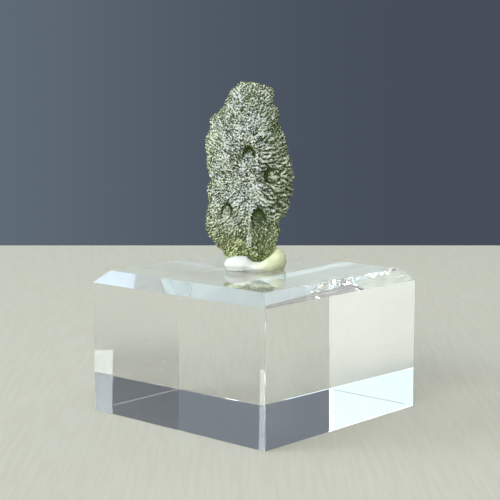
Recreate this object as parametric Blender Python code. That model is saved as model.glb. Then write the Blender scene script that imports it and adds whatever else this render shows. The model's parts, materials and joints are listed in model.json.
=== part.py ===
"""A moldavite, a natural green glass with a deeply etched skin, held upright by a dab of mounting
putty on a bevelled clear block.

Metres, +Z up. The origin is the middle of the block's base, and the stone's broad face looks along -Y.
"""

import math
import random

import bmesh
import bpy
from mathutils import Matrix, Vector, kdtree, noise

MM = 0.001

# The block: a square prism whose top edges are bevelled at 45 degrees
BLOCK_SIDE = 50 * MM
BLOCK_HEIGHT = 31 * MM
BLOCK_BEVEL = 2.6 * MM
BLOCK_TURN = math.radians(48)
GAP = 0.3 * MM

# The stone: a flat leaf, blunt at both ends, whose outline is (across, up) from its middle, in mm
STONE_MIDDLE = Vector((-1.1, 0, 52.3)) * MM
STONE_OUTLINE = [
    (-1.5, 19.6), (1.0, 19.3), (4.3, 18.5), (5.4, 16.5), (4.9, 15.0), (6.1, 13.6), (6.2, 11.3),
    (7.1, 8.6), (8.0, 6.3), (8.8, 2.3), (9.5, 0.0), (9.7, -3.7), (8.9, -5.1), (8.9, -7.2),
    (8.0, -9.5), (6.2, -11.1), (6.6, -12.1), (6.5, -14.1), (5.7, -16.5), (4.2, -18.5),
    (2.0, -19.9), (0.2, -19.4), (-2.0, -18.9), (-4.3, -19.0), (-5.8, -17.8), (-8.4, -14.8),
    (-9.3, -13.5), (-9.8, -10.8), (-9.4, -8.4), (-8.9, -6.2), (-9.4, -3.5), (-8.6, -1.7),
    (-9.3, 0.4), (-9.4, 3.6), (-9.7, 6.6), (-8.6, 10.2), (-8.3, 12.0), (-5.9, 14.0),
    (-5.3, 15.7), (-3.6, 18.0),
]
FRONT_DEPTH = 4.7 * MM
BACK_DEPTH = 4.2 * MM
BOW = 0.9 * MM
TWIST = 0.9 * MM
SPINE_TOP = Vector((-0.3, 0, 5.0)) * MM
SPINE_FOOT = Vector((0.2, 0, -6.5)) * MM
STONE_VOXEL = 0.45 * MM
STONE_TRIANGLES = 8000

# The furrows: pits drawn out along the flow, which runs from the spine over the rim. Where two pits
# meet, they leave a crest, which stands proud of the leaf by FURROW_RISE. FURROW_WIDTH is half a pit's
# width, and FURROW_AT_RIM its share of depth on the rim.
FURROW_PITCH = 1.6 * MM
FURROW_STRETCH = 2.1
FURROW_WIDTH = 1.2 * MM
FURROW_DEPTH = 0.9 * MM
FURROW_RISE = 0.25 * MM
FURROW_AT_RIM = 0.5
FURROW_SWAY = math.radians(12)

# The way the furrows lean on the stone's face, as (across, up, angle), in mm and degrees. The angle is
# from level, counter-clockwise seen from the front, and is blended between these places, more sharply
# with a smaller LEAN_BLEND, in square mm.
LEANS = [
    (-6.0, 14.0, -48), (-3.0, 13.0, -42), (-7.0, 9.0, -31), (-3.5, 9.0, -39), (-6.5, 3.0, -42),
    (-3.0, 3.5, -36), (-6.5, -1.0, -30), (-7.0, -6.0, 42), (-4.0, -9.0, 47), (-7.5, -12.0, 41),
    (-3.5, -14.0, 60), (0.0, 7.0, -44), (-0.5, 0.0, -38), (0.5, -15.0, 88), (2.0, 14.0, 34),
    (4.5, 13.0, 38), (2.0, 10.5, 46), (4.5, 8.0, 27), (5.0, 5.0, 14), (7.0, 2.5, 18),
    (4.5, -3.0, -36), (6.5, -5.5, -27), (6.5, -9.5, 28), (3.0, -11.5, -49), (6.0, -13.5, 45),
]
LEAN_BLEND = 2.0

# The hollows: (across, up, half width, half height, depth, turn in degrees, on the front), in mm. A
# hollow is deepest and steepest at its head, which the turn moves clockwise, and runs out at its foot.
HOLLOWS = [
    (-0.4, 3.6, 1.8, 2.6, 1.7, 8, True),
    (5.0, -0.6, 2.5, 2.9, 1.9, -55, True),
    (3.2, -13.0, 3.2, 6.2, 3.0, -8, True),
    (-5.5, -9.9, 2.0, 3.9, 1.6, 13, True),
    (0.2, 16.0, 1.3, 1.5, 0.9, 0, True),
    (-4.6, -15.4, 2.4, 2.6, 1.0, 35, True),
    (6.6, 8.6, 1.7, 3.2, 1.0, -20, True),
    (-4.7, 4.6, 1.3, 1.9, 0.6, 50, True),
    (-6.1, 0.1, 1.4, 1.7, 0.6, 70, True),
    (-0.3, -3.3, 1.2, 1.3, 0.5, 0, True),
    (3.0, 6.5, 2.1, 3.2, 1.3, 20, False),
    (-4.2, 1.5, 2.4, 3.5, 1.4, -25, False),
    (1.6, -6.0, 2.9, 3.9, 1.5, 15, False),
    (-4.0, 11.5, 1.8, 2.5, 1.1, -10, False),
    (-2.6, -12.6, 2.2, 3.2, 1.2, 30, False),
]

# The putty: flattened balls pressed into one lump, (middle, half sizes), in mm, with the middle's
# height above the block's top
PUTTY_BALLS = [
    ((-2.9, -1.0, 1.3), (4.0, 3.4, 2.1)),
    ((0.9, -1.3, 1.1), (4.6, 3.2, 1.9)),
    ((4.4, 0.9, 1.9), (2.6, 3.4, 2.8)),
    ((-1.0, 1.5, 1.4), (4.9, 3.0, 2.4)),
]
PUTTY_VOXEL = 0.62 * MM


def clear_scene():
    """Removes whatever the startup file holds."""
    for obj in list(bpy.data.objects):
        bpy.data.objects.remove(obj)


def material(name, colour, roughness, transmission=0.0, ior=1.5):
    """A Principled material."""
    made = bpy.data.materials.new(name)
    made.use_nodes = True
    shader = made.node_tree.nodes["Principled BSDF"]
    shader.inputs["Base Color"].default_value = (*colour, 1)
    shader.inputs["Roughness"].default_value = roughness
    shader.inputs["Metallic"].default_value = 0
    shader.inputs["Transmission Weight"].default_value = transmission
    shader.inputs["IOR"].default_value = ior
    return made


def object_from(name, bm, location=(0, 0, 0)):
    """Links a new object that holds a bmesh, and frees the bmesh."""
    bmesh.ops.recalc_face_normals(bm, faces=bm.faces)
    mesh = bpy.data.meshes.new(name)
    bm.to_mesh(mesh)
    bm.free()
    obj = bpy.data.objects.new(name, mesh)
    obj.location = location
    bpy.context.scene.collection.objects.link(obj)
    return obj


def apply_modifiers(obj):
    """Makes the evaluated mesh the object's own."""
    bpy.context.view_layer.update()
    graph = bpy.context.evaluated_depsgraph_get()
    made = bpy.data.meshes.new_from_object(obj.evaluated_get(graph))
    obj.modifiers.clear()
    obj.data = made


def remesh(obj, voxel):
    """Gives the object an even skin of small faces."""
    modifier = obj.modifiers.new("Remesh", "REMESH")
    modifier.mode = "VOXEL"
    modifier.voxel_size = voxel
    apply_modifiers(obj)


def closed_curve(corners, steps):
    """Points of a smooth closed curve through the corners, with some steps from one to the next."""
    points = []
    count = len(corners)
    for i in range(count):
        a, b, c, d = (corners[(i + k) % count] for k in (-1, 0, 1, 2))
        for step in range(steps):
            t = step / steps
            points.append(
                0.5 * (2 * b + (c - a) * t + (2 * a - 5 * b + 4 * c - d) * t**2
                       + (3 * b - a - 3 * c + d) * t**3)
            )
    return points


def middle_plane(x, z):
    """How far the stone's bowed and twisted middle surface lies from the plane y = 0."""
    up = z / (20 * MM)
    across = x / (10 * MM)
    return BOW * (0.35 - up * up) * 0.8 + TWIST * up * across * 0.5


def rounding(share):
    """The stone's half thickness at a share of the way from its middle to its rim, as a share."""
    return (1 - share**2.3) ** 0.55


def stone_form(name, grow=0.0):
    """The stone's smooth leaf before it was etched: rings of its outline, lofted front to back."""
    outline = closed_curve([Vector((x, 0, z)) * MM for x, z in STONE_OUTLINE], 3)
    shares = [0.12, 0.28, 0.44, 0.6, 0.74, 0.86, 0.94, 0.985]
    stations = [(s, -FRONT_DEPTH * rounding(s)) for s in shares]
    stations.append((1, 0))
    stations += [(s, BACK_DEPTH * rounding(s)) for s in reversed(shares)]
    bm = bmesh.new()
    rings = []
    for share, depth in stations:
        ring = []
        for point in outline:
            x, z = point.x * share, point.z * share
            lump = 1 + 0.16 * noise.noise(Vector((x, depth, z)) / (6 * MM))
            ring.append(bm.verts.new((x, middle_plane(x, z) + depth * lump, z)))
        rings.append(ring)
    count = len(outline)
    for low, high in zip(rings, rings[1:]):
        for i in range(count):
            j = (i + 1) % count
            bm.faces.new((low[i], low[j], high[j], high[i]))
    bm.faces.new(reversed(rings[0]))
    bm.faces.new(rings[-1])
    form = object_from(name, bm, STONE_MIDDLE)
    if grow:
        bm = bmesh.new()
        bm.from_mesh(form.data)
        bm.normal_update()
        for vert, normal in [(v, v.normal.copy()) for v in bm.verts]:
            vert.co += normal * grow
        bm.to_mesh(form.data)
        bm.free()
    return form


def lean(point):
    """The furrows' direction on the stone's face at a point, as seen from the front."""
    across = up = 0.0
    for x, z, angle in LEANS:
        away = (point.x / MM - x) ** 2 + (point.z / MM - z) ** 2
        weight = 1 / (away + LEAN_BLEND) ** 2
        # Twice the angle, because a furrow that is turned half way round is the same furrow
        across += weight * math.cos(math.radians(2 * angle))
        up += weight * math.sin(math.radians(2 * angle))
    angle = math.atan2(up, across) / 2
    return Vector((math.cos(angle), 0, math.sin(angle)))


def flow(point, normal):
    """The way the etching runs at a point of the smooth stone: out from the spine and over the rim."""
    spine = SPINE_FOOT - SPINE_TOP
    along = (Vector((point.x, 0, point.z)) - SPINE_TOP).dot(spine) / spine.length_squared
    nearest = SPINE_TOP + spine * min(max(along, 0), 1)
    way = lean(point)
    if way.x * (point.x - nearest.x) + way.z * (point.z - nearest.z) < 0:
        way.negate()
    way += Vector((0, math.copysign(1, -normal.y), 0))
    way = (way - normal * way.dot(normal)).normalized()
    sway = FURROW_SWAY * noise.noise(point / (3 * MM))
    return way * math.cos(sway) + normal.cross(way) * math.sin(sway)


def hollow_depth(point, normal):
    """How deep the named hollows cut at a point."""
    depth = 0.0
    for x, z, half_width, half_height, deepest, turn, front in HOLLOWS:
        if (normal.y < 0) != front:
            continue
        angle = math.radians(turn)
        dx, dz = point.x / MM - x, point.z / MM - z
        across = (dx * math.cos(angle) - dz * math.sin(angle)) / half_width
        up = (dx * math.sin(angle) + dz * math.cos(angle)) / half_height
        reach = across**2 + up**2
        if reach < 1:
            ramp = 0.35 + 0.65 * (up + 1) / 2
            depth = max(depth, deepest * MM * ramp * (1 - reach**2) * abs(normal.y))
    return depth


def stretched(offset, way):
    """The length of an offset whose part along the flow counts for less, as a furrow is long."""
    along = offset.dot(way)
    return math.hypot(along / FURROW_STRETCH, (offset - way * along).length)


def furrow_seeds(points, normals, rng):
    """The furrows' middles, spread evenly over the points, each with its way and its share of depth."""
    tree = kdtree.KDTree(len(points))
    for number, point in enumerate(points):
        tree.insert(point, number)
    tree.balance()
    taken = set()
    seeds = []
    for number in rng.sample(range(len(points)), len(points)):
        if number in taken:
            continue
        point = points[number]
        way = flow(point, normals[number])
        seeds.append((point, way, rng.uniform(0.6, 1)))
        for other, index, _ in tree.find_range(point, FURROW_PITCH * FURROW_STRETCH):
            if stretched(other - point, way) < FURROW_PITCH:
                taken.add(index)
    return seeds


def etch(obj, rng):
    """Sinks the hollows and the furrows into the smooth stone."""
    points = [v.co.copy() for v in obj.data.vertices]
    normals = [v.normal.copy() for v in obj.data.vertices]
    seeds = furrow_seeds(points, normals, rng)
    middles = kdtree.KDTree(len(seeds))
    for number, seed in enumerate(seeds):
        middles.insert(seed[0], number)
    middles.balance()
    for vert, point, normal in zip(obj.data.vertices, points, normals):
        cut = 0.0
        for middle, number, _ in middles.find_range(point, FURROW_WIDTH * FURROW_STRETCH):
            _, way, share = seeds[number]
            reach = stretched(point - middle, way) / FURROW_WIDTH
            cut = max(cut, FURROW_DEPTH * share * (1 - reach**2))
        relief = (FURROW_RISE - cut) * (FURROW_AT_RIM + (1 - FURROW_AT_RIM) * abs(normal.y))
        vert.co = point + normal * (relief - hollow_depth(point, normal))


def make_stone():
    """The moldavite."""
    stone = stone_form("moldavite")
    remesh(stone, STONE_VOXEL)
    etch(stone, random.Random(7))
    thin = stone.modifiers.new("Decimate", "DECIMATE")
    thin.ratio = STONE_TRIANGLES / sum(len(face.vertices) - 2 for face in stone.data.polygons)
    apply_modifiers(stone)
    stone.data.shade_flat()
    stone.data.materials.clear()
    stone.data.materials.append(material("moldavite_glass", (0.16, 0.22, 0.08), 0.2, 0.8, 1.49))
    return stone


def make_block():
    """The clear block, turned so that a corner points to the front."""
    bm = bmesh.new()
    size = (BLOCK_SIDE, BLOCK_SIDE, BLOCK_HEIGHT)
    turn = Matrix.Rotation(BLOCK_TURN, 4, "Z")
    place = turn @ Matrix.Translation((0, 0, BLOCK_HEIGHT / 2)) @ Matrix.Diagonal((*size, 1))
    bmesh.ops.create_cube(bm, size=1, matrix=place)
    top = [e for e in bm.edges if all(v.co.z > BLOCK_HEIGHT / 2 for v in e.verts)]
    bmesh.ops.bevel(bm, geom=top, offset=BLOCK_BEVEL, segments=1, affect="EDGES")
    block = object_from("display_block", bm)
    block.data.materials.append(material("clear_block", (0.95, 0.96, 0.95), 0.02, 1.0, 1.52))
    return block


def make_putty():
    """The putty: soft balls pressed together, flat on the block, with the stone's foot set in it."""
    top = BLOCK_HEIGHT
    bm = bmesh.new()
    for middle, half in PUTTY_BALLS:
        place = Matrix.Translation(Vector(middle) * MM + Vector((0, 0, top)))
        size = Matrix.Diagonal((*(Vector(half) * MM), 1))
        bmesh.ops.create_uvsphere(bm, u_segments=32, v_segments=20, radius=1, matrix=place @ size)
    putty = object_from("mounting_putty", bm)
    remesh(putty, PUTTY_VOXEL)
    smooth = putty.modifiers.new("Smooth", "SMOOTH")
    smooth.iterations = 4
    apply_modifiers(putty)
    for vert in putty.data.vertices:
        vert.co.z = max(vert.co.z, top + GAP)

    socket = stone_form("stone_socket", GAP)
    socket.hide_render = True
    socket.display_type = "WIRE"
    cut = putty.modifiers.new("Socket", "BOOLEAN")
    cut.operation = "DIFFERENCE"
    cut.solver = "EXACT"
    cut.object = socket
    putty.data.materials.append(material("putty", (0.86, 0.9, 0.82), 0.55))
    return putty


def main():
    """Builds the three pieces."""
    clear_scene()
    make_block()
    make_putty()
    make_stone()


main()
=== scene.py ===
"""The looks of a moldavite that stands in a dab of putty on a clear bevelled block.

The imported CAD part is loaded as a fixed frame, in metres, +Z up. The stone's broad face looks along
-Y. Each piece here stands for one CAD node: the stone's fine etching is sunk into a copy of its solid,
the putty closes the solid's working gaps, and the block has the tiny chamfers of its polished edges.
"""

import json
import logging
import math
import random
from dataclasses import dataclass
from enum import Enum
from typing import Any, Optional, Union

import bpy
import numpy as np
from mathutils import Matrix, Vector, bvhtree, kdtree

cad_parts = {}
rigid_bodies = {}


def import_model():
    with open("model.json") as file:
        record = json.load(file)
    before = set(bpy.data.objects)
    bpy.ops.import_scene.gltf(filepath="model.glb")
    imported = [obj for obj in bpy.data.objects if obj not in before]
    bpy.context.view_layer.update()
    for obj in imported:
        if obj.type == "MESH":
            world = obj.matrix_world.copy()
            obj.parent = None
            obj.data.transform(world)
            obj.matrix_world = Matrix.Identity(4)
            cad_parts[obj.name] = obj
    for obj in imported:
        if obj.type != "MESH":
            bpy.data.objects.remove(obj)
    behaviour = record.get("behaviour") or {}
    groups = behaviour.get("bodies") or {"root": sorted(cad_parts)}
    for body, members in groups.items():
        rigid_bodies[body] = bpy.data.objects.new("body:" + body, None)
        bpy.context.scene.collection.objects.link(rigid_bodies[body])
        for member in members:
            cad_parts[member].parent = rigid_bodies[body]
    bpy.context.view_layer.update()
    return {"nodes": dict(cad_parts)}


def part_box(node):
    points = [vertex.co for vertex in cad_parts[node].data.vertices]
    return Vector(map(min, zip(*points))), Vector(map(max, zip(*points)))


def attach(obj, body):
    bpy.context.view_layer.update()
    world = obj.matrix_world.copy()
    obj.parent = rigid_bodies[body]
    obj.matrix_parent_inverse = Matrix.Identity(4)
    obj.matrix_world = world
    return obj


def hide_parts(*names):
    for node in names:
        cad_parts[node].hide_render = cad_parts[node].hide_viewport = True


MM = 0.001
BODY = "root"

Colour = tuple[float, float, float]


class Slot(Enum):
    """The record's material slots."""

    STONE = "moldavite_glass"
    PUTTY = "putty"
    BLOCK = "clear_block"


class Node(Enum):
    """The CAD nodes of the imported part."""

    STONE = "moldavite"
    PUTTY = "mounting_putty"
    BLOCK = "display_block"


# Shader nodes


class Link:
    """An output of a shader node that takes part in arithmetic."""

    def __init__(self, graph: "Graph", socket: bpy.types.NodeSocket) -> None:
        """Wraps one socket.

        Args:
            graph: The tree that the socket is in.
            socket: The output socket.
        """
        self.graph = graph
        self.socket = socket

    def _math(self, operation: str, *values: "Input") -> "Link":
        """Adds a Math node on some values, and returns its output."""
        return self.graph.node(
            "ShaderNodeMath", {"operation": operation}, dict(enumerate(values))
        )

    def __add__(self, other: "Input") -> "Link":
        """self + other"""
        return self._math("ADD", self, other)

    def __radd__(self, other: "Input") -> "Link":
        """other + self"""
        return self._math("ADD", other, self)

    def __sub__(self, other: "Input") -> "Link":
        """self - other"""
        return self._math("SUBTRACT", self, other)

    def __rsub__(self, other: "Input") -> "Link":
        """other - self"""
        return self._math("SUBTRACT", other, self)

    def __mul__(self, other: "Input") -> "Link":
        """self * other"""
        return self._math("MULTIPLY", self, other)

    def __rmul__(self, other: "Input") -> "Link":
        """other * self"""
        return self._math("MULTIPLY", other, self)

    def between(self, low: float, high: float) -> "Link":
        """A smooth step from 0 at low to 1 at high.

        Args:
            low: The value that gives 0.
            high: The value that gives 1.

        Returns:
            The step's output.
        """
        return self.graph.node(
            "ShaderNodeMapRange",
            {"interpolation_type": "SMOOTHSTEP"},
            {"Value": self, "From Min": low, "From Max": high},
        )


Input = Union[Link, float, tuple[float, ...]]


class Graph:
    """The node tree of a material or of the world."""

    def __init__(self, owner: Union[bpy.types.Material, bpy.types.World]) -> None:
        """Empties the owner's node tree.

        Args:
            owner: The material or world to dress.
        """
        owner.use_nodes = True
        self.tree = owner.node_tree
        self.tree.nodes.clear()

    def node(
        self,
        kind: str,
        settings: Optional[dict[str, Any]] = None,
        inputs: Optional[dict[Union[str, int], Input]] = None,
        output: Union[str, int] = 0,
    ) -> Link:
        """Adds a node.

        Args:
            kind: The node's type.
            settings: Its properties, set before its sockets.
            inputs: Values or links, by the socket's name or number.
            output: The name or number of the output that is wanted.

        Returns:
            That output.
        """
        made = self.tree.nodes.new(kind)
        for name, value in (settings or {}).items():
            setattr(made, name, value)
        for name, value in (inputs or {}).items():
            if isinstance(value, Link):
                self.tree.links.new(value.socket, made.inputs[name])
            else:
                made.inputs[name].default_value = value
        found = made.outputs[output] if made.outputs else None
        return Link(self, found)

    def mix(self, share: Input, first: Union[Link, Colour], second: Union[Link, Colour]) -> Link:
        """Mixes two colours.

        Args:
            share: How much of the second colour there is, 0 to 1.
            first: The colour at 0.
            second: The colour at 1.

        Returns:
            The mixed colour.
        """
        first = first if isinstance(first, Link) else (*first, 1.0)
        second = second if isinstance(second, Link) else (*second, 1.0)
        # A Mix node's sockets 0, 6 and 7 are the factor and the two colours, and output 2 the result
        return self.node(
            "ShaderNodeMix", {"data_type": "RGBA"}, {0: share, 6: first, 7: second}, 2
        )

    def noise(self, size: float, detail: float = 3.0, roughness: float = 0.5) -> Link:
        """A noise pattern fixed to the piece.

        Args:
            size: The width of its blotches, in metres.
            detail: How many finer layers it has.
            roughness: How strong they are.

        Returns:
            The pattern, mostly from 0.3 to 0.7.
        """
        place = self.node("ShaderNodeTexCoord", output="Object")
        inputs = {"Vector": place, "Scale": 1 / size, "Detail": detail, "Roughness": roughness}
        return self.node("ShaderNodeTexNoise", {}, inputs)

    def bump(self, height: Link, distance: float, over: Optional[Link] = None) -> Link:
        """Turns a height pattern into a normal.

        Args:
            height: The pattern.
            distance: How far a height of 1 stands out, in metres.
            over: A normal to add it to.

        Returns:
            The normal.
        """
        inputs: dict[Union[str, int], Input] = {"Height": height, "Distance": distance}
        if over is not None:
            inputs["Normal"] = over
        return self.node("ShaderNodeBump", {}, inputs)

    def principled(self, inputs: dict[Union[str, int], Input]) -> Link:
        """Adds a Principled shader, and returns its output."""
        return self.node("ShaderNodeBsdfPrincipled", {}, inputs)

    def output(self, inputs: dict[Union[str, int], Input]) -> None:
        """Adds the material's output node."""
        self.node("ShaderNodeOutputMaterial", {}, inputs)


# Finishes


@dataclass(frozen=True)
class MoldaviteGlass:
    """Olive green natural glass, clear in its pits and frosted white on its crests.

    The glass is wetly smooth in some places and duller in others. Its skin of frost is whiter or dimmer
    from place to place. Where the stone is thinner it is painted yellow green, a glow of light shining
    through, single grains get painted glints, and the hollows' walls and the ripples' gaps get painted
    shade.
    """

    tint: Colour = (0.80, 0.86, 0.62)
    shaded: Colour = (0.42, 0.37, 0.27)
    ior: float = 1.49
    absorbed: Colour = (0.36, 0.525, 0.05)
    density: float = 420.0
    wet: float = 0.10
    dull: float = 0.26
    frost: Colour = (0.89, 0.98, 0.99)
    dusk: Colour = (0.84, 0.94, 0.80)
    # Yellow green painted on the skin where the glass is thinner: the glow of light shining through it
    edge: Colour = (0.78, 0.86, 0.28)
    # A pale colour painted on single grains, standing in for glints of light
    sparkle: Colour = (0.95, 1.0, 0.88)
    sparkle_share: float = 0.7
    frost_roughness: float = 0.2
    seep: float = 0.2
    cloud: float = 3.5 * MM
    blotch: float = 1.4 * MM
    blotch_weight: float = 0.7
    grain: float = 0.36 * MM
    grain_weight: float = 1.5
    grain_height: float = 0.2 * MM

    def material(self) -> bpy.types.Material:
        """Makes the material. It reads the stone's own "frost" and "thin" attributes.

        Returns:
            The material.
        """
        made = bpy.data.materials.new("moldavite_glass")
        graph = Graph(made)
        share = graph.node("ShaderNodeAttribute", {"attribute_name": "frost"}, output="Fac")
        thin = graph.node("ShaderNodeAttribute", {"attribute_name": "thin"}, output="Fac")
        grain = graph.noise(self.grain, 2.0, 0.6)
        patches = graph.noise(self.cloud, 3.0).between(0.35, 0.65)
        blotch = graph.noise(self.blotch, 2.0)
        normal = graph.bump(grain, self.grain_height)
        # Single grains get a pale painted glint on the skin
        glint = grain.between(0.57, 0.65)
        glass = graph.principled({
            # Below 0, the frost attribute marks the hollows' walls and the gaps between ripples, which get
            # painted shade
            "Base Color": graph.mix((-1 * share).between(0.0, 0.8), self.tint, self.shaded),
            "Roughness": self.wet + (self.dull - self.wet) * patches,
            "IOR": self.ior,
            "Transmission Weight": 1.0,
            "Normal": normal,
        })
        # Where the glass is thinner, the skin is painted yellow green, a glow of light shining through it
        frosted = graph.mix(thin, graph.mix(patches, self.dusk, self.frost), self.edge)
        skin = graph.principled({
            "Base Color": graph.mix(self.sparkle_share * glint, frosted, self.sparkle),
            "Roughness": self.frost_roughness,
            "IOR": self.ior,
            "Transmission Weight": self.seep,
            "Normal": normal,
        })
        # Thinner places keep less of the frost, but more of the painted glints
        dusted = share * (1 - 0.5 * thin) + 0.75 * (0.25 + thin) * glint
        dusted = dusted + self.grain_weight * (grain - 0.5) + self.blotch_weight * (blotch - 0.5)
        dusted = dusted.between(0.05, 0.7)
        surface = graph.node("ShaderNodeMixShader", {}, {0: dusted, 1: glass, 2: skin})
        body = graph.node(
            "ShaderNodeVolumeAbsorption", {}, {"Color": (*self.absorbed, 1.0), "Density": self.density}
        )
        graph.output({"Surface": surface, "Volume": body})
        return made


@dataclass(frozen=True)
class ClearGlass:
    """Water clear polished glass, with a faint haze and a few specks of pale dust on it."""

    colour: Colour = (0.985, 0.99, 0.985)
    ior: float = 1.495
    haze: float = 0.006
    dust: Colour = (0.8, 0.8, 0.78)
    dust_clear: float = 0.7
    dust_roughness: float = 0.9
    dusty: float = 0.45
    speck_spacing: float = 1.5 * MM
    speck_size: float = 0.09

    def material(self) -> bpy.types.Material:
        """Makes the material.

        Returns:
            The material.
        """
        made = bpy.data.materials.new("clear_block_glass")
        graph = Graph(made)
        place = graph.node("ShaderNodeTexCoord", output="Object")
        near = graph.node(
            "ShaderNodeTexVoronoi", {}, {"Vector": place, "Scale": 1 / self.speck_spacing}, "Distance"
        )
        speck = self.haze + self.dusty * (1 - near.between(self.speck_size * 0.5, self.speck_size))
        glass = graph.principled({
            "Base Color": (*self.colour, 1.0),
            "Roughness": 0.0,
            "IOR": self.ior,
            "Transmission Weight": 1.0,
        })
        dust = graph.principled({
            "Base Color": (*self.dust, 1.0),
            "Roughness": self.dust_roughness,
            "Transmission Weight": self.dust_clear,
        })
        surface = graph.node("ShaderNodeMixShader", {}, {0: speck, 1: glass, 2: dust})
        graph.output({"Surface": surface})
        return made


@dataclass(frozen=True)
class SoftPutty:
    """Off-white mounting putty that is a little waxy, with green yellow light that passes through the stone
    painted onto it towards one end.
    """

    pale: Colour = (0.76, 0.81, 0.78)
    painted_stone_light: Colour = (0.80, 0.88, 0.56)
    grimy: Colour = (0.62, 0.67, 0.56)
    grime: float = 0.35
    roughness: float = 0.45
    ior: float = 1.45
    glow: float = 0.25
    glow_radius: float = 1.2 * MM
    lump: float = 2.2 * MM
    dent: float = 0.5 * MM
    dent_depth: float = 0.06 * MM
    crease: float = 0.3 * MM
    crease_scale: tuple[float, float, float] = (160.0, 500.0, 1300.0)

    def material(self, stone_light_from: float, stone_light_to: float) -> bpy.types.Material:
        """Makes the material.

        Args:
            stone_light_from: Where along X the painted light from the stone starts, in metres.
            stone_light_to: Where along X the painted light from the stone is full.

        Returns:
            The material.
        """
        made = bpy.data.materials.new("soft_putty")
        graph = Graph(made)
        place = graph.node("ShaderNodeTexCoord", output="Object")
        across = graph.node("ShaderNodeSeparateXYZ", {}, {0: place}, "X")
        lumps = graph.noise(self.lump, 4.0)
        # Green yellow light that passes through the stone is painted on towards +X
        tint = (across + 2 * MM * lumps).between(stone_light_from, stone_light_to)
        colour = graph.mix(tint, self.pale, self.painted_stone_light)
        dents = graph.noise(self.dent, 3.0)
        # The creases are a noise that is drawn out across the putty
        drawn_out = graph.node("ShaderNodeMapping", {}, {"Vector": place, "Scale": self.crease_scale})
        inputs = {"Vector": drawn_out, "Scale": 1.0, "Distortion": 0.6}
        folds = graph.node("ShaderNodeTexNoise", {}, inputs)
        surface = graph.principled({
            "Base Color": graph.mix(self.grime * dents.between(0.5, 0.75), colour, self.grimy),
            "Roughness": self.roughness + 0.2 * lumps,
            "Subsurface Weight": self.glow,
            "Subsurface Scale": self.glow_radius,
            "IOR": self.ior,
            "Normal": graph.bump(folds, self.crease, graph.bump(dents, self.dent_depth)),
        })
        graph.output({"Surface": surface})
        return made


@dataclass(frozen=True)
class TableTop:
    """A pale cream table, with a faint long grain."""

    pale: Colour = (0.555, 0.555, 0.49)
    warm: Colour = (0.525, 0.525, 0.455)
    roughness: float = 0.6
    grain_scale: tuple[float, float, float] = (900.0, 50.0, 50.0)
    grain_depth: float = 0.05 * MM

    def material(self) -> bpy.types.Material:
        """Makes the material.

        Returns:
            The material.
        """
        made = bpy.data.materials.new("table_top")
        graph = Graph(made)
        place = graph.node("ShaderNodeTexCoord", output="Object")
        long = graph.node("ShaderNodeMapping", {}, {"Vector": place, "Scale": self.grain_scale})
        grain = graph.node("ShaderNodeTexNoise", {}, {"Vector": long, "Scale": 1.0, "Detail": 5.0})
        surface = graph.principled({
            "Base Color": graph.mix(grain.between(0.35, 0.65), self.pale, self.warm),
            "Roughness": self.roughness,
            "Normal": graph.bump(grain, self.grain_depth),
        })
        graph.output({"Surface": surface})
        return made


# Modelling


def select_only(piece: bpy.types.Object) -> None:
    """Deselects all else, and makes this piece the active one."""
    bpy.ops.object.select_all(action="DESELECT")
    piece.select_set(True)
    bpy.context.view_layer.objects.active = piece


def finish_modifier(piece: bpy.types.Object, kind: str, settings: dict[str, Any]) -> None:
    """Adds a modifier to a piece and applies it.

    Args:
        piece: The piece.
        kind: The modifier's type.
        settings: Its properties.
    """
    select_only(piece)
    modifier = piece.modifiers.new(kind.title(), kind)
    for name, value in settings.items():
        setattr(modifier, name, value)
    bpy.ops.object.modifier_apply(modifier=modifier.name)


def copy_of(node: bpy.types.Object, name: str) -> bpy.types.Object:
    """Copies a CAD node's solid and joins its loose triangles.

    Args:
        node: The CAD node, which stays as it is.
        name: The copy's name.

    Returns:
        The copy, with a mesh of its own.
    """
    piece = bpy.data.objects.new(name, node.data.copy())
    bpy.context.scene.collection.objects.link(piece)
    piece.data.materials.clear()
    select_only(piece)
    bpy.ops.object.mode_set(mode="EDIT")
    bpy.ops.mesh.select_all(action="SELECT")
    bpy.ops.mesh.remove_doubles(threshold=0.001 * MM)
    bpy.ops.object.mode_set(mode="OBJECT")
    return piece


def points_of(mesh: bpy.types.Mesh) -> np.ndarray:
    """The places of a mesh's vertices, one row each."""
    flat = np.empty(len(mesh.vertices) * 3)
    mesh.vertices.foreach_get("co", flat)
    return flat.reshape(-1, 3)


def normals_of(mesh: bpy.types.Mesh) -> np.ndarray:
    """The normals of a mesh's vertices, one row each."""
    flat = np.empty(len(mesh.vertices) * 3, np.float32)
    mesh.vertex_normals.foreach_get("vector", flat)
    return flat.reshape(-1, 3).astype(float)


def place_points(mesh: bpy.types.Mesh, points: np.ndarray) -> None:
    """Moves a mesh's vertices to these places."""
    mesh.vertices.foreach_set("co", points.astype(np.float32).ravel())
    mesh.update()


def unit(rows: np.ndarray) -> np.ndarray:
    """Each row scaled to a length of 1."""
    return rows / np.maximum(np.linalg.norm(rows, axis=1, keepdims=True), 1e-12)


def smooth_step(values: np.ndarray, low: float, high: float) -> np.ndarray:
    """0 below low, 1 above high, and a smooth rise between."""
    share = np.clip((values - low) / (high - low), 0, 1)
    return share * share * (3 - 2 * share)


def band(values: np.ndarray, ends: tuple[float, float, float, float]) -> np.ndarray:
    """1 between the two middle ends, 0 outside the two outer ones, and smooth between."""
    first, low, high, last = ends
    return smooth_step(values, first, low) * (1 - smooth_step(values, high, last))


@dataclass(frozen=True)
class Layer:
    """One layer of etched marks, which are drawn out along the flow away from the spine.

    The pitch is how far apart the marks are across the flow, and the stretches are how many times longer
    than wide a mark is, at the spine and away from it. The width is in pitches: half a pit's width, or
    the distance from ridge to ridge. The marks' strengths lie between the weakest and 1.
    """

    pitch: float
    round_stretch: float
    long_stretch: float
    width: float
    depth: float
    weakest: float
    seed: int


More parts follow.
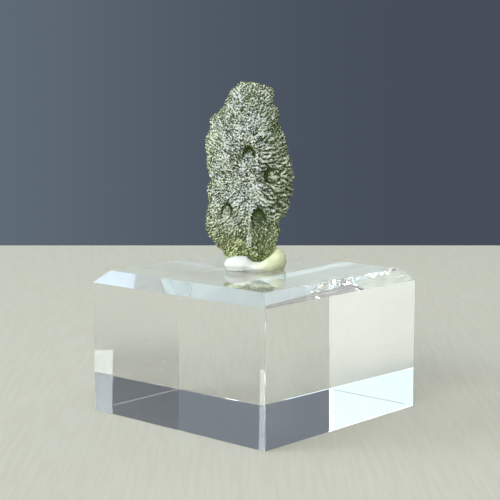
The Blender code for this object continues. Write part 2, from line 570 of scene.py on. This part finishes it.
# The way the pits lean on the stone's face, as (across, up, angle) from its middle, in mm and degrees.
# The angle is from level, counter-clockwise seen from the front.
LEANS = np.array([
    (-6.0, 14.0, -48), (-3.0, 13.0, -42), (-7.0, 9.0, -31), (-3.5, 9.0, -39), (-6.5, 3.0, -42),
    (-3.0, 3.5, -36), (-6.5, -1.0, -30), (-7.0, -6.0, 42), (-4.0, -9.0, 47), (-7.5, -12.0, 41),
    (-3.5, -14.0, 60), (0.0, 7.0, -44), (-0.5, 0.0, -38), (0.5, -15.0, 88), (2.0, 14.0, 34),
    (4.5, 13.0, 38), (2.0, 10.5, 46), (4.5, 8.0, 27), (5.0, 5.0, 14), (7.0, 2.5, 18),
    (4.5, -3.0, -36), (6.5, -5.5, -27), (6.5, -9.5, 28), (3.0, -11.5, -49), (6.0, -13.5, 45),
])

# The steep arched heads of the face's hollows: (across, up, half width, half height, turn, depth,
# how clear the floor is), in mm and degrees. The turn moves a head clockwise. A floor below 0 is
# frosted over.
ARCHES = np.array([
    (-0.4, 3.5, 1.4, 2.0, 22, 0.65, -0.1), (5.1, -0.9, 1.7, 2.2, -60, 0.9, 0.15),
    (2.0, -11.4, 1.6, 3.7, -6, 0.9, 0.6), (-5.1, -8.8, 1.1, 2.3, 10, 0.6, -0.2),
    (3.0, -15.6, 2.2, 2.8, 0, 0.0, 0.8), (0.2, 15.8, 1.0, 1.2, 15, 0.2, 0.15),
    (6.4, 8.8, 1.2, 2.0, -30, 0.4, 0.3), (7.3, -6.6, 1.1, 2.0, -40, 0.4, 0.4),
    (5.3, -13.0, 1.3, 2.6, -10, 0.2, 0.45),
])

# The places with wear, whose frost is painted evenly pale as a sheen of light: from (across, up) to
# (across, up), and half a width, in mm
WEAR_AND_SHEEN = np.array([
    (0.6, -6.5, -0.3, -15.6, 0.8), (1.0, -3.2, 3.6, -7.2, 1.0),
])


@dataclass
class Relief:
    """What the etching is like at each vertex of the stone, from 0 to 1 where no other unit is given.

    Furrow, pit and ridge say how deep in a furrow or pit, or how high on a ripple, a vertex lies. Head is
    how deep it lies under a hollow's head, in metres, dark how far it is part of the head's wall, which
    gets painted shade, and clear how clear the hollow's floor is. Wear is how much wear a place shows,
    where the frost is also painted paler as a sheen, calm how near the spine, and rim how near the outline
    it is.
    Across is how far it lies to the right of the spine, in metres.
    """

    furrow: np.ndarray
    pit: np.ndarray
    ridge: np.ndarray
    head: np.ndarray
    dark: np.ndarray
    clear: np.ndarray
    wear_and_sheen: np.ndarray
    calm: np.ndarray
    rim: np.ndarray
    across: np.ndarray

    @property
    def right(self) -> np.ndarray:
        """How far each vertex is on the right bank, 0 to 1."""
        return smooth_step(self.across, 2.5 * MM, 7 * MM)

    @property
    def left(self) -> np.ndarray:
        """How far each vertex is on the left bank, 0 to 1."""
        return 1 - smooth_step(self.across, -5 * MM, -1 * MM)


@dataclass
class Moldavite:
    """The stone: the CAD solid's large form, with the fine etching sunk into it.

    Heights are measured up from the middle of the stone.
    """

    skin: float = 0.158 * MM
    middle: tuple[float, float, float] = (-1.1 * MM, 0.0, 52.3 * MM)
    spine_top: float = 5.0 * MM
    spine_foot: float = -6.5 * MM
    furrows: Layer = Layer(1.45 * MM, 1.2, 2.0, 0.8, 0.28 * MM, 0.2, 5)
    pits: Layer = Layer(0.44 * MM, 1.1, 1.4, 0.86, 0.3 * MM, 0.35, 11)
    ripples: Layer = Layer(0.42 * MM, 1.05, 1.55, 1.6, 0.36 * MM, 0.5, 23)
    neighbours: int = 12
    rise: float = 0.3 * MM
    broadest: float = 1.6
    broad_band: tuple[float, float, float, float] = (-10.5 * MM, -8.0 * MM, 7.0 * MM, 11.0 * MM)
    dark_band: tuple[float, float, float, float] = (-11.0 * MM, -9.0 * MM, 4.0 * MM, 8.0 * MM)
    stray: float = 0.45
    lean_blend: float = 2.0
    clear_wall_depth: float = 0.9

    def build(self, node: bpy.types.Object) -> bpy.types.Object:
        """Makes the stone.

        Args:
            node: The CAD node that it stands for.

        Returns:
            The piece, dressed and riding on its body.
        """
        piece = copy_of(node, "moldavite_stone")
        finish_modifier(piece, "REMESH", {"mode": "VOXEL", "voxel_size": self.skin})
        finish_modifier(piece, "SMOOTH", {"factor": 0.5, "iterations": 6})
        self.etch(piece.data)
        piece.data.shade_smooth()
        piece.data.materials.append(MoldaviteGlass().material())
        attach(piece, BODY)
        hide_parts(Node.STONE.value)
        return piece

    def spine_offset(self, points: np.ndarray) -> np.ndarray:
        """From the nearest point of the stone's spine to each point, across and up, as rows."""
        offset = points - np.array(self.middle)
        offset[:, 1] = 0
        offset[:, 2] -= np.clip(offset[:, 2], self.spine_foot, self.spine_top)
        return offset

    def flow(self, points: np.ndarray, normals: np.ndarray) -> np.ndarray:
        """The way the etching runs at each point: out from the spine and over the rim."""
        place = (points - np.array(self.middle))[:, None, [0, 2]] / MM
        away = np.sum((place - LEANS[None, :, :2]) ** 2, axis=2)
        weight = (away + self.lean_blend) ** -2.0
        # Twice the angle, because a furrow that is turned half way round is the same furrow
        double = np.radians(2 * LEANS[:, 2])
        angle = np.arctan2(weight @ np.sin(double), weight @ np.cos(double)) / 2
        way = np.stack([np.cos(angle), np.zeros_like(angle), np.sin(angle)], axis=1)
        inward = np.sum(way * self.spine_offset(points), axis=1) < 0
        way[inward] *= -1
        way[:, 1] = np.where(normals[:, 1] < 0, 1.0, -1.0)
        way -= normals * np.sum(way * normals, axis=1, keepdims=True)
        return unit(way)

    def seeds(
        self,
        points: np.ndarray,
        ways: np.ndarray,
        stretch: np.ndarray,
        pitch: np.ndarray,
        seed: int,
    ) -> list[int]:
        """Picks the vertices where marks start, spread evenly along and across the flow.

        Args:
            points: The vertices.
            ways: The flow at each.
            stretch: How many times longer than wide a mark is, at each.
            pitch: How far apart the marks are across the flow, at each, in metres.
            seed: The seed of their layout.

        Returns:
            The numbers of the chosen vertices.
        """
        tree = kdtree.KDTree(len(points))
        for number, point in enumerate(points):
            tree.insert(point, number)
        tree.balance()
        order = list(range(len(points)))
        random.Random(seed).shuffle(order)
        taken = np.zeros(len(points), bool)
        chosen = []
        for number in order:
            if taken[number]:
                continue
            chosen.append(number)
            reach = float(pitch[number] * stretch[number])
            near = np.array([i for _, i, _ in tree.find_range(points[number], reach)])
            offset = points[near] - points[number]
            along = offset @ ways[number]
            across = np.linalg.norm(offset - np.outer(along, ways[number]), axis=1)
            close = np.hypot(along / stretch[number], across) < pitch[number]
            taken[near[close]] = True
        return chosen

    def marks(
        self,
        points: np.ndarray,
        normals: np.ndarray,
        ways: np.ndarray,
        away: np.ndarray,
        layer: Layer,
    ) -> tuple[np.ndarray, np.ndarray, np.ndarray]:
        """Spreads one layer's marks, and measures each point from the marks nearest to it.

        Args:
            points: The vertices.
            normals: Their normals.
            ways: The flow at each.
            away: How far each is from the spine, 0 to 1.
            layer: The layer of marks.

        Returns:
            For each point and near mark: the offset along the mark over its stretch, and the offset
            across it, both as shares of the mark's pitch, and the mark's strength.
        """
        stretch = layer.round_stretch + (layer.long_stretch - layer.round_stretch) * away
        broad = self.breadth(points)
        chosen = self.seeds(points, ways, stretch, broad * layer.pitch, layer.seed)
        logging.info("moldavite: %d marks %.2f mm apart", len(chosen), layer.pitch / MM)
        tree = kdtree.KDTree(len(chosen))
        for number, vertex in enumerate(chosen):
            tree.insert(points[vertex], number)
        tree.balance()
        near = np.array(
            [[i for _, i, _ in tree.find_n(point, self.neighbours)] for point in points]
        )
        rng = np.random.default_rng(layer.seed)
        strength = rng.uniform(layer.weakest, 1.0, len(chosen))
        vertex = np.array(chosen)
        # The marks stray from the flow, more so close to the spine
        side = unit(np.cross(normals[vertex], ways[vertex]))
        turn = rng.uniform(-1.0, 1.0, len(chosen)) * (self.stray + 0.8 * (1 - away[vertex]))
        way = ways[vertex] * np.cos(turn)[:, None] + side * np.sin(turn)[:, None]
        side = side * np.cos(turn)[:, None] - ways[vertex] * np.sin(turn)[:, None]
        offset = points[:, None, :] - points[vertex[near]]
        pitch = broad[vertex] * layer.pitch
        along = np.sum(offset * way[near], axis=2) / (stretch[vertex] * pitch)[near]
        across = np.sum(offset * side[near], axis=2) / pitch[near]
        return along, across, strength[near]

    def breadth(self, points: np.ndarray) -> np.ndarray:
        """How many times broader the marks are than the finest, at each point: broad on the right."""
        place = points - np.array(self.middle)
        right = smooth_step(place[:, 0], 1.5 * MM, 5 * MM)
        return 1 + (self.broadest - 1) * right * band(place[:, 2], self.broad_band)

    def pitted(self, marks: tuple[np.ndarray, np.ndarray, np.ndarray], layer: Layer) -> np.ndarray:
        """How deep round-bottomed pits at the marks are, 0 to 1."""
        along, across, strength = marks
        reach = np.hypot(along, across) / layer.width
        return np.max(strength * (1 - reach**2), axis=1).clip(0, 1)

    def rippled(self, marks: tuple[np.ndarray, np.ndarray, np.ndarray], layer: Layer) -> np.ndarray:
        """How high ridges that run along the marks stand, 0 to 1."""
        along, across, strength = marks
        # A mark's strength is random, so it gives its ripple's phase and width too
        phase = strength * 97.0
        width = layer.width * (0.75 + 0.5 * np.modf(strength * 31.0)[0])
        weight = strength * np.exp(-(along**2 + across**2))
        wave = np.sum(weight * np.cos(2 * math.pi * across / width + phase), axis=1)
        level = wave / np.sqrt(np.sum(weight**2, axis=1) + 1e-9)
        return 0.5 + 0.5 * np.tanh(1.3 * level)

    def arched(
        self, points: np.ndarray, normals: np.ndarray
    ) -> tuple[np.ndarray, np.ndarray, np.ndarray]:
        """The steep heads of the hollows.

        Args:
            points: The vertices.
            normals: Their normals.

        Returns:
            How deep each point lies under a head, in metres, how far it is part of a head's clear wall,
            where shade is painted in, 0 to 1, and how clear the floor is there, or less than 0 where it is
            frosted over.
        """
        place = (points - np.array(self.middle))[:, [0, 2]] / MM
        depth, dark, clear = (np.zeros(len(points)) for _ in range(3))
        for x, z, half_width, half_height, turn, deepest, share in ARCHES:
            angle = math.radians(turn)
            dx, dz = place[:, 0] - x, place[:, 1] - z
            across = (dx * math.cos(angle) - dz * math.sin(angle)) / half_width
            up = (dx * math.sin(angle) + dz * math.cos(angle)) / half_height
            reach = np.hypot(across, up)
            head = smooth_step(up, -0.4, 0.6)
            depth = np.maximum(depth, deepest * MM * head * (1 - smooth_step(reach, 0.8, 1.05)))
            wall = smooth_step(reach, 0.5, 0.75) * (1 - smooth_step(reach, 1.0, 1.15)) * head
            # A deeper head gets stronger painted shade on its wall
            wall *= deepest / self.clear_wall_depth
            dark = np.maximum(dark, wall)
            clear += share * (1 - smooth_step(reach, 0.6, 0.9))
        face = np.maximum(0, -normals[:, 1])
        seen = smooth_step(face, 0.1, 0.5)
        return depth * face, dark * seen, clear.clip(-1, 1) * seen

    def wear_and_sheen(self, points: np.ndarray) -> np.ndarray:
        """How much wear each point shows, 0 to 1, where its frost is painted paler as a sheen."""
        place = (points - np.array(self.middle))[:, [0, 2]] / MM
        share = np.zeros(len(points))
        for *ends, half_width in WEAR_AND_SHEEN:
            start, end = np.array(ends[:2]), np.array(ends[2:])
            run = end - start
            along = np.clip((place - start) @ run / (run @ run), 0, 1)
            away = np.linalg.norm(place - start - along[:, None] * run, axis=1)
            share = np.maximum(share, 1 - smooth_step(away, 0.4 * half_width, half_width))
        return share

    def relief(self, points: np.ndarray, normals: np.ndarray) -> Relief:
        """Lays out the marks.

        Args:
            points: The vertices of the bare stone.
            normals: Their normals.

        Returns:
            What the etching is like at each vertex.
        """
        ways = self.flow(points, normals)
        across = self.spine_offset(points)[:, 0]
        away = smooth_step(np.abs(across), 0.5 * MM, 3.5 * MM)
        layers = (self.furrows, self.pits, self.ripples)
        furrows, pits, ripples = (self.marks(points, normals, ways, away, each) for each in layers)
        head, dark, clear = self.arched(points, normals)
        return Relief(
            furrow=self.pitted(furrows, self.furrows),
            pit=self.pitted(pits, self.pits),
            ridge=self.rippled(ripples, self.ripples),
            head=head,
            dark=dark,
            clear=clear,
            wear_and_sheen=self.wear_and_sheen(points) * (normals[:, 1] < 0),
            calm=1 - away,
            rim=1 - np.abs(normals[:, 1]),
            across=across,
        )

    def lift(self, relief: Relief) -> np.ndarray:
        """How far each vertex moves out along its normal, or in where that is below 0, in metres."""
        depth = self.furrows.depth * relief.furrow * (0.6 + relief.right)
        depth += self.pits.depth * relief.pit * (1 + 0.5 * relief.calm)
        depth += self.ripples.depth * (1 - relief.ridge) * (1 - 0.2 * relief.calm)
        depth *= 1 + 0.5 * relief.clear.clip(0, 1)
        return self.rise - relief.head - depth * (1 - 0.3 * relief.rim)

    def frosted(self, relief: Relief, low: np.ndarray, height: np.ndarray) -> np.ndarray:
        """How frosted each vertex is.

        Args:
            relief: The etching.
            low: How near the stone's foot each vertex is, 0 to 1.
            height: The height of each, in metres.

        Returns:
            About 1 on a frosted crest, 0 where the glass is bare, and less than 0 on a head's wall or in a
            gap, where shade is painted in.
        """
        ridge, calm, clear, right, left = relief.ridge, relief.calm, relief.clear, relief.right, relief.left
        # Crests are frosted, and furrows and pits are bare
        level = (ridge + 0.3 * calm * (0.7 - ridge)) * (1 - (0.75 + 0.1 * calm) * relief.pit)
        level += 0.35 * left * (0.55 - level)
        high = smooth_step(height, 8 * MM, 15 * MM)
        lit = 1.05 - 0.06 * high + 0.09 * right + 0.17 * low + 0.3 * low * left
        level *= lit * (1 - 0.45 * relief.furrow)
        # Frost is raised evenly where there is wear: partly wear, partly a painted sheen
        level += 0.7 * relief.wear_and_sheen * (0.8 - level) * (0.3 + 0.7 * ridge)
        # A clear floor keeps frost only on its highest crests, as painted glints, and a frosted one has it
        # all over
        glint = 0.75 * smooth_step(ridge, 0.75, 0.95)
        frost = np.where(clear > 0, level + clear * (glint - level), level - clear * (0.75 - level))
        # The heads' walls lose their frost, and get painted shade below
        frost *= 1 - 0.95 * relief.dark
        frost *= 1 - 0.3 * right * smooth_step(relief.rim, 0.2, 0.7)
        # Painted shade goes in the gaps between the ripples on the right bank and round the foot
        bank = right * band(height, self.dark_band)
        bank = np.maximum(bank, low * smooth_step(relief.across, 0.0, 3 * MM))
        gap = 1 - smooth_step(ridge, 0.05, 0.4)
        return frost - np.maximum(0.7 * relief.dark, 0.5 * bank * gap)

    def thick(self, relief: Relief, low: np.ndarray) -> np.ndarray:
        """How thick the glass looks at each vertex, 0 to 1: less at the rim, foot, right and left, where a
        yellow green glow of light shining through is painted in.
        """
        share = (1 - 0.8 * smooth_step(relief.rim, 0.15, 0.8)) * (1 - 0.8 * low * (1 - relief.wear_and_sheen))
        return share * (1 - 0.3 * relief.right) * (1 - 0.1 * relief.left)

    def etch(self, mesh: bpy.types.Mesh) -> None:
        """Sinks the marks, and keeps as attributes how frosted each point is, and how strongly a yellow
        green glow of light shining through the glass is painted there.

        Args:
            mesh: The stone's mesh.
        """
        points, normals = points_of(mesh), normals_of(mesh)
        relief = self.relief(points, normals)
        top = points[:, 2].max()
        points += normals * self.lift(relief)[:, None]
        points[:, 2] = np.minimum(points[:, 2], top)
        place_points(mesh, points)
        height = points[:, 2] - self.middle[2]
        low = 1 - smooth_step(height, -17 * MM, -8 * MM)
        kept = {"frost": self.frosted(relief, low, height), "thin": 1 - self.thick(relief, low)}
        for name, values in kept.items():
            attribute = mesh.attributes.new(name, "FLOAT", "POINT")
            attribute.data.foreach_set("value", values.astype(np.float32))


@dataclass
class MountingPutty:
    """The putty: the CAD solid pressed home against the stone and the block."""

    skin: float = 0.22 * MM
    contact: float = 0.03 * MM
    gap: float = 0.5 * MM
    notch_at: float = 0.5 * MM
    notch_half: float = 2.6 * MM
    notch_depth: float = 0.8 * MM

    def build(self, node: bpy.types.Object, stone: bpy.types.Object) -> bpy.types.Object:
        """Makes the putty.

        Args:
            node: The CAD node that it stands for.
            stone: The finished stone, which it grips.

        Returns:
            The piece, dressed and riding on its body.
        """
        low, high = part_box(Node.PUTTY.value)
        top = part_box(Node.BLOCK.value)[1].z
        piece = copy_of(node, "putty_dab")
        finish_modifier(piece, "REMESH", {"mode": "VOXEL", "voxel_size": self.skin})
        finish_modifier(piece, "SMOOTH", {"factor": 0.5, "iterations": 6})
        self.press(piece.data, stone, top)
        piece.data.shade_smooth()
        middle = (low.x + high.x) / 2
        piece.data.materials.append(SoftPutty().material(middle - 1 * MM, high.x - 1.5 * MM))
        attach(piece, BODY)
        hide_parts(Node.PUTTY.value)
        return piece

    def press(self, mesh: bpy.types.Mesh, stone: bpy.types.Object, top: float) -> None:
        """Closes the gap that the CAD leaves round the stone and under the putty.

        Args:
            mesh: The putty's mesh.
            stone: The stone.
            top: The height of the block's top face, in metres.
        """
        tree = bvhtree.BVHTree.FromObject(stone, bpy.context.evaluated_depsgraph_get())
        points = points_of(mesh)
        # In front, the stone's lowest tip shows over a dip in the putty's rim
        away = np.abs(points[:, 0] - self.notch_at)
        dip = (1 - smooth_step(away, 0.2 * self.notch_half, self.notch_half)) * (points[:, 1] < 0)
        points[:, 2] -= self.notch_depth * dip * ((points[:, 2] - top) / (3 * MM)).clip(0, 1)
        for number, point in enumerate(points):
            place = Vector(point)
            nearest, normal, _, distance = tree.find_nearest(place)
            if distance < self.gap:
                share = 1 - distance / self.gap
                goal = nearest + normal * self.contact
                points[number] = place.lerp(goal, min(1.0, 2.2 * share))
        floor = top + self.contact
        points[:, 2] = np.where(points[:, 2] < top + self.gap, floor, points[:, 2])
        place_points(mesh, points)


@dataclass
class DisplayBlock:
    """The clear block: a square prism with bevelled top edges and tiny chamfers on every edge."""

    bevel: float = 2.6 * MM
    chamfer: float = 0.08 * MM
    sharp: float = math.radians(50)
    turn: float = math.radians(48)

    def build(self) -> bpy.types.Object:
        """Makes the block at the size of the CAD node that it stands for.

        Returns:
            The piece, dressed and riding on its body.
        """
        low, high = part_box(Node.BLOCK.value)
        reach = high.x - low.x
        side = reach / (math.cos(self.turn) + math.sin(self.turn))
        height = high.z - low.z
        bpy.ops.object.select_all(action="DESELECT")
        bpy.ops.mesh.primitive_cube_add(
            size=1, location=(0, 0, height / 2), rotation=(0, 0, self.turn), scale=(side, side, height)
        )
        piece = bpy.context.object
        piece.name = piece.data.name = "clear_block"
        bpy.ops.object.transform_apply(location=True, rotation=True, scale=True)
        self.bevel_top(piece, height)
        finish_modifier(
            piece,
            "BEVEL",
            {"width": self.chamfer, "segments": 1, "limit_method": "ANGLE", "angle_limit": self.sharp},
        )
        piece.data.shade_flat()
        piece.data.materials.append(ClearGlass().material())
        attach(piece, BODY)
        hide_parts(Node.BLOCK.value)
        return piece

    def bevel_top(self, piece: bpy.types.Object, height: float) -> None:
        """Bevels the four top edges at 45 degrees.

        Args:
            piece: The block.
            height: Its height, in metres.
        """
        select_only(piece)
        bpy.ops.object.mode_set(mode="EDIT")
        bpy.ops.mesh.select_all(action="DESELECT")
        bpy.ops.object.mode_set(mode="OBJECT")
        for edge in piece.data.edges:
            edge.select = all(piece.data.vertices[i].co.z > height - 0.1 * MM for i in edge.vertices)
        bpy.ops.object.mode_set(mode="EDIT")
        bpy.ops.mesh.select_mode(type="EDGE")
        bpy.ops.mesh.bevel(offset=self.bevel, segments=1, affect="EDGES")
        bpy.ops.object.mode_set(mode="OBJECT")


@dataclass(frozen=True)
class SoftBox:
    """A soft rectangular light, which isn't seen itself."""

    name: str
    place: tuple[float, float, float]
    aim: tuple[float, float, float]
    width: float
    height: float
    radiance: float
    colour: Colour = (1.0, 1.0, 1.0)

    def build(self) -> bpy.types.Object:
        """Makes the light.

        Returns:
            The light.
        """
        data = bpy.data.lights.new(self.name, "AREA")
        data.shape = "RECTANGLE"
        data.size, data.size_y = self.width, self.height
        # A lamp of this power has the wanted radiance over its face
        data.energy = self.radiance * math.pi * self.width * self.height
        data.color = self.colour
        light = bpy.data.objects.new(self.name, data)
        light.location = self.place
        way = Vector(self.aim) - Vector(self.place)
        light.rotation_euler = way.to_track_quat("-Z", "Y").to_euler()
        light.visible_camera = False
        bpy.context.scene.collection.objects.link(light)
        return light


# The room's lamps: name, place, aim, width, height, radiance and colour, in metres
LAMPS = (
    SoftBox("window", (-1.0, 0.1, 0.5), (0, 0, 0.05), 1.3, 0.85, 0.97, (0.75, 0.96, 1.0)),
    SoftBox("pane", (-0.98, -0.03, 0.29), (0, 0, 0.29), 0.2, 0.17, 6.5, (0.9, 1.0, 1.0)),
    SoftBox("front", (-0.72, -1.75, 0.99), (0, 0, 0.03), 2.0, 0.54, 9.0, (1.0, 0.98, 0.95)),
    SoftBox("left", (-1.8, -0.45, 0.98), (0, 0, 0.03), 1.0, 0.5, 6.0, (0.95, 1.0, 0.98)),
    SoftBox("overhead", (-0.3, -0.3, 2.0), (0, 0, 0.05), 1.4, 1.4, 1.5, (1.0, 0.98, 0.95)),
    SoftBox("behind", (0.96, 0.81, 0.61), (0, 0, 0.05), 0.5, 0.3, 3.8, (1.0, 1.0, 0.92)),
    SoftBox("back_strip", (0.0, 1.0, 0.155), (0, 0, 0.155), 1.6, 0.09, 0.64, (0.94, 1.0, 0.84)),
    SoftBox("side_strip", (1.0, 0.0, 0.155), (0, 0, 0.155), 1.6, 0.09, 0.7, (0.93, 1.0, 0.82)),
    SoftBox("high_left", (-0.82, -0.925, 1.018), (0, 0, 0), 0.75, 0.2, 1.2, (0.6, 0.85, 1.0)),
    SoftBox("high_side", (-1.125, 0.48, 1.05), (0, 0, 0), 0.3, 0.2, 1.6, (0.4, 0.62, 1.0)),
    SoftBox("high_right", (0.34, -1.2, 1.0), (0, 0, 0), 0.28, 0.15, 2.5, (0.5, 0.82, 1.0)),
    SoftBox("high_back", (0.0, 1.18, 1.08), (0, 0, 0), 1.14, 0.2, 1.4, (0.86, 1.0, 0.75)),
)


@dataclass
class Studio:
    """The table, the backdrop, the soft lights and the camera."""

    table_half: float = 0.28
    table_drop: float = 0.05 * MM
    backdrop_left: Colour = (0.127, 0.164, 0.201)
    backdrop_right: Colour = (0.062, 0.077, 0.106)
    backdrop_high: Colour = (0.145, 0.172, 0.21)
    room: Colour = (0.47, 0.47, 0.46)
    bounces: int = 160
    lens: float = 98.2
    sensor: float = 36.0
    camera_place: tuple[float, float, float] = (-1.09 * MM, -295.25 * MM, 74.53 * MM)
    camera_pitch: float = math.radians(7.578)

    def build(self) -> None:
        """Makes the whole stage."""
        self.table()
        self.backdrop()
        self.camera()
        for light in LAMPS:
            light.build()
        scene = bpy.context.scene
        scene.view_settings.view_transform = "Standard"
        scene.cycles.max_bounces = self.bounces
        scene.cycles.glossy_bounces = self.bounces
        scene.cycles.transmission_bounces = self.bounces

    def table(self) -> None:
        """Makes the table top, a hair under the block so that the base reflects as in air."""
        bpy.ops.object.select_all(action="DESELECT")
        bpy.ops.mesh.primitive_plane_add(size=2 * self.table_half, location=(0, 0, -self.table_drop))
        table = bpy.context.object
        table.name = table.data.name = "table_top"
        bpy.ops.object.transform_apply(location=True, rotation=True, scale=True)
        table.data.materials.append(TableTop().material())

    def backdrop(self) -> None:
        """Makes the world: a dark blue-grey that is lighter on the left and higher up, and the room."""
        world = bpy.data.worlds.new("backdrop")
        bpy.context.scene.world = world
        graph = Graph(world)
        # In a world, Generated is the direction that is looked in
        way = graph.node("ShaderNodeTexCoord", output="Generated")
        across = graph.node("ShaderNodeSeparateXYZ", {}, {0: way}, "X")
        back = graph.node("ShaderNodeSeparateXYZ", {}, {0: way}, "Y")
        up = graph.node("ShaderNodeSeparateXYZ", {}, {0: way}, "Z")
        dark = graph.mix(across.between(-0.3, 0.12), self.backdrop_left, self.backdrop_right)
        dark = graph.mix(back.between(0.3, 0.9) * up.between(0.06, 0.22), dark, self.backdrop_high)
        colour = graph.mix((up - 0.4 * back).between(0.15, 0.55), dark, self.room)
        glow = graph.node("ShaderNodeBackground", {}, {"Color": colour, "Strength": 1.0})
        graph.node("ShaderNodeOutputWorld", {}, {"Surface": glow})

    def camera(self) -> None:
        """Makes the camera, where the photograph was taken from."""
        data = bpy.data.cameras.new("camera")
        data.lens, data.sensor_width = self.lens, self.sensor
        data.clip_start = 1 * MM
        camera = bpy.data.objects.new("camera", data)
        camera.location = self.camera_place
        camera.rotation_euler = (math.pi / 2 - self.camera_pitch, 0, 0)
        bpy.context.scene.collection.objects.link(camera)
        bpy.context.scene.camera = camera


def main() -> None:
    """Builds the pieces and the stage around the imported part."""
    logging.basicConfig(level=logging.INFO, format="%(message)s")
    for thing in list(bpy.data.objects):
        bpy.data.objects.remove(thing)
    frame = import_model()
    block = DisplayBlock().build()
    stone = Moldavite().build(frame["nodes"][Node.STONE.value])
    putty = MountingPutty().build(frame["nodes"][Node.PUTTY.value], stone)
    for piece in (block, stone, putty):
        piece.data.calc_loop_triangles()
        logging.info("%s: %d triangles", piece.name, len(piece.data.loop_triangles))
    Studio().build()
    bpy.context.view_layer.update()


if __name__ == "__main__":
    main()
